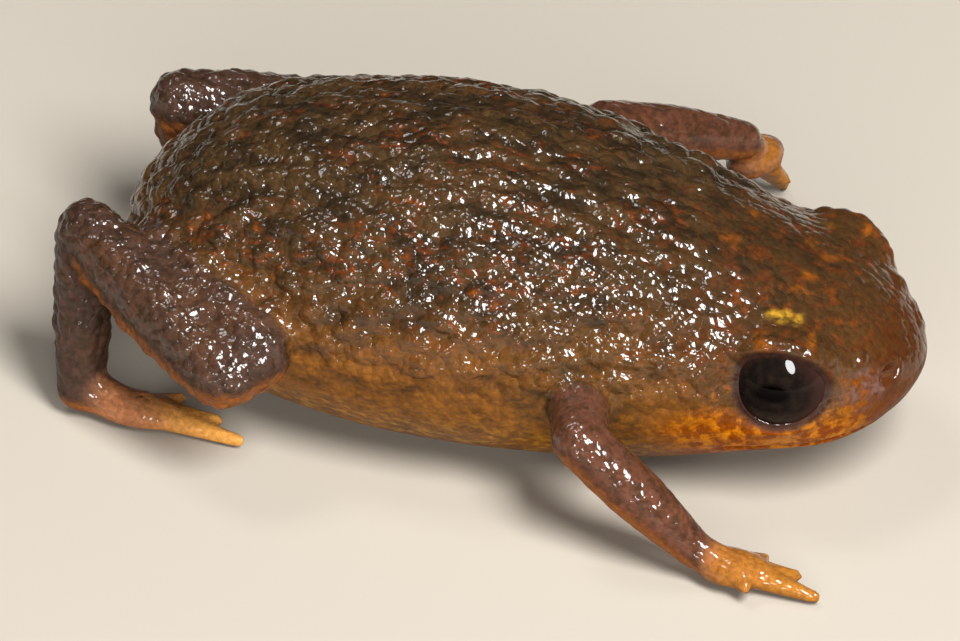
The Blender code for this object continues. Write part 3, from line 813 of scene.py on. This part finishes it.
def granuleTree():
    tree = bpy.data.node_groups.new("raised granules", "GeometryNodeTree")
    face = tree.interface
    face.new_socket("Skin", in_out="INPUT", socket_type="NodeSocketGeometry")
    for name in ("Spacing", "Radius", "Height", "Waver"):
        face.new_socket(name, in_out="INPUT", socket_type="NodeSocketFloat")
    face.new_socket("Drawn Out", in_out="INPUT", socket_type="NodeSocketVector")
    face.new_socket("Seed", in_out="INPUT", socket_type="NodeSocketInt")
    face.new_socket("Where", in_out="INPUT", socket_type="NodeSocketString")
    face.new_socket("Finish", in_out="INPUT", socket_type="NodeSocketMaterial")
    face.new_socket("Skin", in_out="OUTPUT", socket_type="NodeSocketGeometry")
    given = tree.nodes.new("NodeGroupInput").outputs
    density = addNode(tree, "ShaderNodeMath", {"operation": "DIVIDE"}, i0=3.0, i1=given["Spacing"])
    scatter = addNode(
        tree, "GeometryNodeDistributePointsOnFaces", {"distribute_method": "POISSON"},
        Mesh=given["Skin"], Distance_Min=given["Spacing"], Seed=given["Seed"])
    square = addNode(
        tree, "ShaderNodeMath", {"operation": "MULTIPLY"}, i0=density.outputs[0], i1=density.outputs[0])
    tree.links.new(square.outputs[0], scatter.inputs["Density Max"])
    place = addNode(tree, "GeometryNodeInputPosition").outputs[0]
    # squeezing the distances along the body draws the warts out that way
    squeezed = addNode(
        tree, "ShaderNodeVectorMath", {"operation": "MULTIPLY"}, i0=place, i1=given["Drawn Out"])
    seeds = addNode(
        tree, "GeometryNodeSetPosition", Geometry=scatter.outputs["Points"],
        Position=squeezed.outputs[0]).outputs[0]
    noise = addNode(tree, "ShaderNodeTexNoise", Vector=place, Scale=4.0, Detail=1.5)
    shift = addNode(
        tree, "ShaderNodeVectorMath", {"operation": "SUBTRACT"}, i0=noise.outputs["Color"],
        i1=(0.5, 0.5, 0.5))
    small = addNode(
        tree, "ShaderNodeVectorMath", {"operation": "SCALE"}, i0=shift.outputs[0], Scale=given["Waver"])
    wavered = addNode(
        tree, "ShaderNodeVectorMath", {"operation": "ADD"}, i0=place, i1=small.outputs[0]).outputs[0]
    asked = addNode(
        tree, "ShaderNodeVectorMath", {"operation": "MULTIPLY"}, i0=wavered, i1=given["Drawn Out"]).outputs[0]
    near = addNode(tree, "GeometryNodeProximity", {"target_element": "POINTS"}, i0=seeds)
    tree.links.new(asked, near.inputs["Sample Position"])
    index = addNode(tree, "GeometryNodeSampleNearest", i0=seeds)
    tree.links.new(asked, index.inputs["Sample Position"])
    # each granule has a size of its own
    draw = addNode(tree, "FunctionNodeRandomValue", {"data_type": "FLOAT"}, i2=0.55, i3=1.0)
    tree.links.new(given["Seed"], draw.inputs["Seed"])
    size = addNode(tree, "GeometryNodeSampleIndex", {"data_type": "FLOAT", "domain": "POINT"}, i0=seeds)
    tree.links.new(draw.outputs[1], size.inputs[1])
    tree.links.new(index.outputs[0], size.inputs["Index"])
    grow = size.outputs[0]
    # a dome falls from 1 over its point to 0 at its radius
    radius = addNode(tree, "ShaderNodeMath", {"operation": "MULTIPLY"}, i0=given["Radius"], i1=grow)
    ratio = addNode(
        tree, "ShaderNodeMath", {"operation": "DIVIDE"}, i0=near.outputs["Distance"], i1=radius.outputs[0])
    power = addNode(tree, "ShaderNodeMath", {"operation": "POWER"}, i0=ratio.outputs[0], i1=2.0)
    left = addNode(
        tree, "ShaderNodeMath", {"operation": "SUBTRACT", "use_clamp": True}, i0=1.0, i1=power.outputs[0])
    dome = addNode(tree, "ShaderNodeMath", {"operation": "POWER"}, i0=left.outputs[0], i1=1.4)
    mask = addNode(tree, "GeometryNodeInputNamedAttribute", {"data_type": "FLOAT"})
    tree.links.new(given["Where"], mask.inputs["Name"])
    masked = addNode(
        tree, "ShaderNodeMath", {"operation": "MULTIPLY"}, i0=dome.outputs[0], i1=mask.outputs[0])
    scaled = addNode(tree, "ShaderNodeMath", {"operation": "MULTIPLY"}, i0=masked.outputs[0], i1=grow)
    lift = addNode(
        tree, "ShaderNodeMath", {"operation": "MULTIPLY"}, i0=scaled.outputs[0], i1=given["Height"])
    outward = addNode(tree, "GeometryNodeInputNormal").outputs[0]
    offset = addNode(tree, "ShaderNodeVectorMath", {"operation": "SCALE"}, i0=outward)
    tree.links.new(lift.outputs[0], offset.inputs["Scale"])
    moved = addNode(tree, "GeometryNodeSetPosition", Geometry=given["Skin"], Offset=offset.outputs[0])
    real = addNode(tree, "GeometryNodeRealizeInstances", i0=moved.outputs[0])
    finish = addNode(tree, "GeometryNodeSetMaterial", Geometry=real.outputs[0])
    tree.links.new(given["Finish"], finish.inputs["Material"])
    addNode(tree, "NodeGroupOutput", i0=finish.outputs[0])
    return tree


def raiseGranules(thing, finish):
    tree = granuleTree()
    names = {item.name: item.identifier for item in tree.interface.items_tree if item.in_out == "INPUT"}
    for name, spacing, radius, height, waver, drawnOut, seed, where in granules:
        modifier = thing.modifiers.new(name, "NODES")
        modifier.node_group = tree
        for key, value in (("Spacing", spacing), ("Radius", radius), ("Height", height), ("Waver", waver),
                           ("Drawn Out", drawnOut), ("Seed", seed), ("Where", where), ("Finish", finish)):
            modifier[names[key]] = value
        graph = bpy.context.evaluated_depsgraph_get()
        data = bpy.data.meshes.new_from_object(thing.evaluated_get(graph))
        thing.modifiers.clear()
        thing.data = data


# Wet toad skin

skinPaint = {
    "back": "#3a2916",         # olive brown wart tops
    "backDark": "#241a0f",
    "rust": "#4f240d",         # between the warts
    "flank": "#6b4014",
    "ochre": "#8c5a10",
    "crown": "#332110",
    "snout": "#3c1d0a",
    "cheek": "#583a33",        # pinkish grey, from the eye to the snout
    "jaw": "#642c00",
    "jawYellow": "#9a5c08",
    "orange": "#85480c",       # marks on the head and jaw
    "yellow": "#9a7420",       # mark behind the brow
    "limb": "#38261e",
    "arm": "#4e2e20",
    # orange on the limbs' undersides: their own colour, and a painted glow of light shining through the thin
    # skin
    "limbUnderAndGlow": "#7c4412",
    # foot and toes: their own colour, painted lighter than the fingers as painted light against the shade the
    # foot sits in
    "foot": "#8c5a3a",
    "digit": "#b8803c",
    "hand": "#7d4c14",
    "lid": "#241411",
}


skinFinish = {
    "drawnOut": (0.55, 1.0, 1.0),  # patches are longer along the body
    "roughness": 0.42,
    "specular": 0.05,
    "slime": 0.90,             # weight of the wet coat on top
    "slimeBelow": 0.10,        # and underneath, where it is thinner
    "slimeTurn": 0.28,         # how far under it has thinned out
    "slimeRoughness": 0.05,
    "slimeIor": 1.45,
    "glow": 0.12,              # light that goes into the skin
    "glowColour": (1.0, 0.5, 0.2),
    "glowDepth": 0.00012,
    "tone": (0.72, 1.28),      # darkest and lightest grain
    "crinkle": (5.0, 0.3),     # folds a millimetre, and weight
    "grains": ((6.2, -1.6), (13.0, -0.22)),  # granules 0.16 mm and 0.08 mm across: how many a mm, and weight
    "reliefDepth": 0.000030,
    "smoothest": 0.12,         # share of the relief left where the skin is smoothest
}


def makeSkinMaterial():
    material = bpy.data.materials.new("wet granular toad skin")  # mucus gives every granule a sharp glint
    material.use_nodes = True
    tree = material.node_tree
    shader = tree.nodes["Principled BSDF"]
    coords = addNode(tree, "ShaderNodeTexCoord").outputs["Object"]
    mm = addNode(
        tree, "ShaderNodeVectorMath", {"operation": "SCALE"}, i0=coords, Scale=1 / toMetres).outputs[0]
    drawn = addNode(
        tree, "ShaderNodeVectorMath", {"operation": "MULTIPLY"}, i0=mm, i1=skinFinish["drawnOut"]).outputs[0]
    paint = {name: toLinear(value) for name, value in skinPaint.items()}
    names = ("low", "high", "limb", "arm", "digit", "digitReach", "hand", "headShare", "lidGap", "cheek",
             "snoutShare", "yellowMark", "orangeMark", "shoulderShade", "under", "reliefMask")
    fields = {name: addNode(tree, "ShaderNodeAttribute", {"attribute_name": name}).outputs["Fac"]
              for name in names}
    noises = {}   # patches of 0.9, 0.4, 0.2, 0.12 and 0.08 mm
    for name, scale, detail, where in (("blotch", 1.1, 4.0, drawn), ("mottle", 2.6, 5.0, drawn),
                                       ("fleck", 5.0, 4.0, mm), ("speck", 8.0, 3.0, drawn),
                                       ("grain", 13.0, 2.0, mm)):
        noises[name] = addNode(
            tree, "ShaderNodeTexNoise", Vector=where, Scale=scale, Detail=detail, Roughness=0.62).outputs[0]

    # colours laid over each other in turn: colour, then the fields and noises
    # that must all be high for it to show, each with the values where it starts and is full
    layers = (
        ("back", (("mottle", 0.40, 0.58),), 0.85),
        ("rust", (("high", 0.25, 0.75), ("headShare", 0.9, 0.1), ("blotch", 0.40, 0.60),
                  ("speck", 0.46, 0.66)), 0.75),
        ("orange", (("high", 0.25, 0.75), ("blotch", 0.46, 0.60), ("speck", 0.62, 0.74)), 0.35),
        ("flank", (("high", 0.95, 0.2), ("mottle", 0.20, 0.55)), 0.9),
        ("ochre", (("low", 0.0, 1.0), ("speck", 0.42, 0.66)), 0.55),
        ("back", (("high", 0.6, 0.0), ("fleck", 0.42, 0.64), ("mottle", 0.40, 0.55)), 0.55),
        ("yellow", (("low", 0.5, 1.0), ("speck", 0.50, 0.66)), 0.45),
        ("crown", (("headShare", 0.0, 1.0), ("mottle", 0.35, 0.55)), 0.8),
        ("rust", (("headShare", 0.2, 1.0), ("fleck", 0.46, 0.66)), 0.7),
        ("ochre", (("headShare", 0.1, 0.9), ("high", 0.60, 0.28), ("fleck", 0.50, 0.64)), 0.5),
        ("orange", (("headShare", 0.2, 1.0), ("blotch", 0.50, 0.62), ("fleck", 0.50, 0.68)), 0.15),
        ("orange", (("orangeMark", 0.0, 0.9), ("fleck", 0.30, 0.62)), 0.85),
        ("jaw", (("headShare", 0.0, 0.8), ("low", 0.10, 0.50)), 1.0),
        ("jawYellow", (("headShare", 0.0, 0.8), ("low", 0.10, 0.50), ("fleck", 0.42, 0.62)), 0.85),
        ("snout", (("snoutShare", 0.0, 0.9), ("fleck", 0.30, 0.55)), 0.9),
        ("cheek", (("cheek", 0.1, 0.9), ("fleck", 0.62, 0.38)), 0.85),
        ("jaw", (("cheek", 0.1, 0.9), ("fleck", 0.50, 0.68)), 0.6),
        ("yellow", (("yellowMark", 0.1, 1.0), ("fleck", 0.25, 0.55)), 0.95),
        ("back", (("shoulderShade", 0.0, 0.8), ("fleck", 0.30, 0.58)), 0.65),
        ("limb", (("limb", 0.1, 0.9),), 1.0),
        ("arm", (("arm", 0.1, 0.9),), 0.9),
        ("flank", (("limb", 0.1, 0.9), ("blotch", 0.50, 0.64)), 0.12),
        ("backDark", (("limb", 0.1, 0.9), ("fleck", 0.46, 0.60)), 0.5),
        # down-facing limb skin: own orange colour plus painted glow of light through the skin
        ("limbUnderAndGlow", (("limb", 0.1, 0.9), ("under", 0.27, 0.90)), 0.8),
        # foot and toes painted lighter: own colour plus painted light against the shade over the foot
        ("foot", (("digit", 0.1, 0.9), ("digitReach", 0.02, 0.25)), 1.0),
        ("digit", (("digit", 0.1, 0.9), ("digitReach", 0.30, 0.80)), 1.0),
        ("hand", (("hand", 0.2, 0.9), ("digitReach", 0.05, 0.25)), 0.85),
        ("lid", (("lidGap", 0.085, 0.030),), 0.9),
    )
    colour = paint["backDark"]
    for name, tests, most in layers:
        share = most
        for source, start, full in tests:
            value = fields.get(source) or noises[source]
            reading = addNode(tree, "ShaderNodeMapRange", {"interpolation_type": "SMOOTHSTEP"}, Value=value,
                              From_Min=start, From_Max=full).outputs[0]
            share = addNode(
                tree, "ShaderNodeMath", {"operation": "MULTIPLY"}, i0=reading, i1=share).outputs[0]
        colour = addNode(tree, "ShaderNodeMix", {"data_type": "RGBA"}, i0=share, i6=colour,
                         i7=paint[name]).outputs[2]
    darkest, lightest = skinFinish["tone"]
    tone = addNode(tree, "ShaderNodeMapRange", Value=noises["grain"], From_Min=0.3, From_Max=0.7,
                   To_Min=darkest, To_Max=lightest).outputs[0]
    colour = addNode(tree, "ShaderNodeVectorMath", {"operation": "SCALE"}, i0=colour, Scale=tone).outputs[0]
    tree.links.new(colour, shader.inputs["Base Color"])

    # relief of the fine granules, lower on the head, arms and toes
    scale, weight = skinFinish["crinkle"]
    crinkle = addNode(tree, "ShaderNodeTexNoise", Vector=mm, Scale=scale, Detail=2.0).outputs[0]
    relief = addNode(tree, "ShaderNodeMath", {"operation": "MULTIPLY"}, i0=crinkle, i1=weight).outputs[0]
    for scale, weight in skinFinish["grains"]:
        cells = addNode(tree, "ShaderNodeTexVoronoi", Vector=mm, Scale=scale).outputs[0]
        dome = addNode(tree, "ShaderNodeMath", {"operation": "POWER"}, i0=cells, i1=2.0).outputs[0]
        relief = addNode(tree, "ShaderNodeMath", {"operation": "MULTIPLY_ADD"}, i0=dome, i1=weight,
                         i2=relief).outputs[0]
    rough = addNode(tree, "ShaderNodeMapRange", Value=fields["reliefMask"], To_Min=skinFinish["smoothest"],
                    To_Max=1.0).outputs[0]
    relief = addNode(tree, "ShaderNodeMath", {"operation": "MULTIPLY"}, i0=relief, i1=rough).outputs[0]
    bump = addNode(
        tree, "ShaderNodeBump", Height=relief, Strength=1.0, Distance=skinFinish["reliefDepth"]).outputs[0]
    tree.links.new(bump, shader.inputs["Normal"])
    tree.links.new(bump, shader.inputs["Coat Normal"])
    shader.inputs["Roughness"].default_value = skinFinish["roughness"]
    shader.inputs["Specular IOR Level"].default_value = skinFinish["specular"]
    wet = addNode(
        tree, "ShaderNodeMapRange", Value=fields["under"], From_Max=skinFinish["slimeTurn"],
        To_Min=skinFinish["slime"], To_Max=skinFinish["slimeBelow"]).outputs[0]
    tree.links.new(wet, shader.inputs["Coat Weight"])
    shader.inputs["Coat Roughness"].default_value = skinFinish["slimeRoughness"]
    shader.inputs["Coat IOR"].default_value = skinFinish["slimeIor"]
    shader.inputs["Subsurface Weight"].default_value = skinFinish["glow"]
    shader.inputs["Subsurface Radius"].default_value = skinFinish["glowColour"]
    shader.inputs["Subsurface Scale"].default_value = skinFinish["glowDepth"]
    return material


def finishMesh(thing):
    # Bring a mesh to metres, with nothing under the floor, and shade it smooth.
    data = thing.data
    co = points(data)
    co[:, 2] = np.maximum(co[:, 2], 0.0)
    setPoints(data, co * toMetres)
    data.shade_smooth()


def makeSkin():
    finish = makeSkinMaterial()
    thing = makeSkinBase()
    print("skin fused:", len(thing.data.vertices), "points")
    carveHead(thing)
    fields = paintFields(thing.data)
    co = points(thing.data)
    height = co[:, 2]
    bare = smoothstep(0.02, 0.14, fields["lidGap"])
    # where each kind of granule stands: warts on the trunk, granules all over but the belly and lids,
    # pebbles on the brow
    trunk = (1 - fields["limb"]) * smoothstep(1.3, 2.8, height)
    hind = fields["limb"] * (co[:, 0] < 0)
    fore = fields["limb"] * (co[:, 0] > 0)
    wartMask = trunk * (1 - fields["headShare"]) * bare + 0.35 * hind * (1 - fields["digit"])
    wartMask *= (1 - 0.4 * smoothstep(-2.5, -4.2, co[:, 0])) * (1 - 0.35 * smoothstep(3.2, 4.4, height))
    reliefMask = 0.15 * smoothstep(0.3, 1.2, height) + 0.85 * smoothstep(1.4, 2.5, height + fields["limb"])
    reliefMask *= (1 - 0.6 * fields["digit"]) * bare * (1 - 0.6 * smoothstep(5.6, 6.9, co[:, 0]))
    crown = smoothstep(0.75, 0.95, normals(thing.data)[:, 2])
    browMask = bare * smoothstep(0.65, 0.35, fields["lidGap"]) * smoothstep(2.45, 2.75, height)
    granuleMask = reliefMask * (1 - (0.3 + 0.3 * crown) * fields["headShare"]) * (1 - 0.3 * fore) * (1 + hind)
    reliefMask *= (1 - 0.5 * crown * fields["headShare"]) * (1 - 0.5 * fore) * (1 - 0.4 * browMask)
    reliefMask += 0.4 * fields["digit"]
    setField(thing.data, "wartMask", wartMask)
    setField(thing.data, "granuleMask", granuleMask)
    setField(thing.data, "browMask", browMask)
    setField(thing.data, "reliefMask", reliefMask)
    raiseGranules(thing, finish)
    finishMesh(thing)
    print("skin raised:", len(thing.data.polygons), "faces")
    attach(thing, "root")
    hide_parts(*[name for name in nodeNames if not name.startswith("eye")])
    bpy.data.collections[sideLit].objects.link(thing)


makeSkin()


# Eyeballs

eyePaint = {
    "pupil": "#020101",
    "iris": "#0f0b09",
    "irisFleck": "#1a120e",
    "irisLowAndLight": "#2a2119",      # the iris's own lighter lower part, with painted light where the light crosses the eye
    "sclera": "#2c1a16",
}


eyeFinish = {
    "fleckScale": 9000.0,      # iris flecks 0.11 mm across
    "roughness": 0.25,
    "tears": (0.20, 1.0),      # weight of the wet coat low on the ball, dulled by the lid's shade, and high
    "tearRoughness": 0.03,
    "tearIor": 1.30,
}


def makeEyeMaterial():
    material = bpy.data.materials.new("wet toadlet eye")  # cornea over a dark iris, smooth as glass
    material.use_nodes = True
    tree = material.node_tree
    shader = tree.nodes["Principled BSDF"]

    coords = addNode(tree, "ShaderNodeTexCoord").outputs["Object"]
    fleck = addNode(tree, "ShaderNodeTexNoise", Vector=coords, Scale=eyeFinish["fleckScale"],
                    Detail=3.0).outputs[0]
    fields = {name: addNode(tree, "ShaderNodeAttribute", {"attribute_name": name}).outputs["Fac"]
              for name in ("irisGap", "pupilGap", "upper", "low")}
    colour = toLinear(eyePaint["iris"])
    # the lower iris band is partly the iris's own colour and partly painted light
    for name, value, start, full in (
            ("irisLowAndLight", fields["low"], 0.0, 1.0), ("irisFleck", fleck, 0.35, 0.75),
            ("sclera", fields["irisGap"], -0.12, 0.14), ("pupil", fields["pupilGap"], 0.12, -0.08)):
        share = addNode(tree, "ShaderNodeMapRange", {"interpolation_type": "SMOOTHSTEP"}, Value=value,
                        From_Min=start, From_Max=full).outputs[0]
        colour = addNode(tree, "ShaderNodeMix", {"data_type": "RGBA"}, i0=share, i6=colour,
                         i7=toLinear(eyePaint[name])).outputs[2]
    tree.links.new(colour, shader.inputs["Base Color"])
    shader.inputs["Roughness"].default_value = eyeFinish["roughness"]
    shader.inputs["Specular IOR Level"].default_value = 0.0   # the coat alone reflects
    dull, bright = eyeFinish["tears"]
    wet = addNode(tree, "ShaderNodeMapRange", Value=fields["upper"], To_Min=dull, To_Max=bright).outputs[0]
    tree.links.new(wet, shader.inputs["Coat Weight"])
    shader.inputs["Coat Roughness"].default_value = eyeFinish["tearRoughness"]
    shader.inputs["Coat IOR"].default_value = eyeFinish["tearIor"]
    return material


def makeEyes():
    finish = makeEyeMaterial()
    for word, side in sideOf.items():
        centre, look = eyeCentre(side), eyeLook(side)
        aim = look.to_track_quat("Z", "Y").to_matrix().to_4x4()
        mesh = bmesh.new()
        bmesh.ops.create_uvsphere(mesh, u_segments=96, v_segments=64, radius=eye["radius"])
        name = "eyeball" + word.capitalize()
        local = [vert.co.copy() for vert in mesh.verts]
        mesh.transform(Matrix.Translation(centre) @ aim)
        thing = makeObject(name, mesh)
        long, high = eye["pupil"]
        pupilGap = [(math.hypot(p.x / long, p.y / high) - 1) * 0.3 if p.z > 0 else 1 for p in local]
        irisGap = [math.hypot(p.x, p.y) - eye["iris"] if p.z > 0 else 1 for p in local]
        height = points(thing.data)[:, 2] - centre.z
        setField(thing.data, "upper", smoothstep(0.05, 0.50, height))
        setField(thing.data, "low", smoothstep(-0.05, -0.40, height))
        setField(thing.data, "pupilGap", pupilGap)
        setField(thing.data, "irisGap", irisGap)
        thing.data.materials.append(finish)
        finishMesh(thing)
        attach(thing, "root")
        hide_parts("eye_" + word)


makeEyes()
print("eyes")
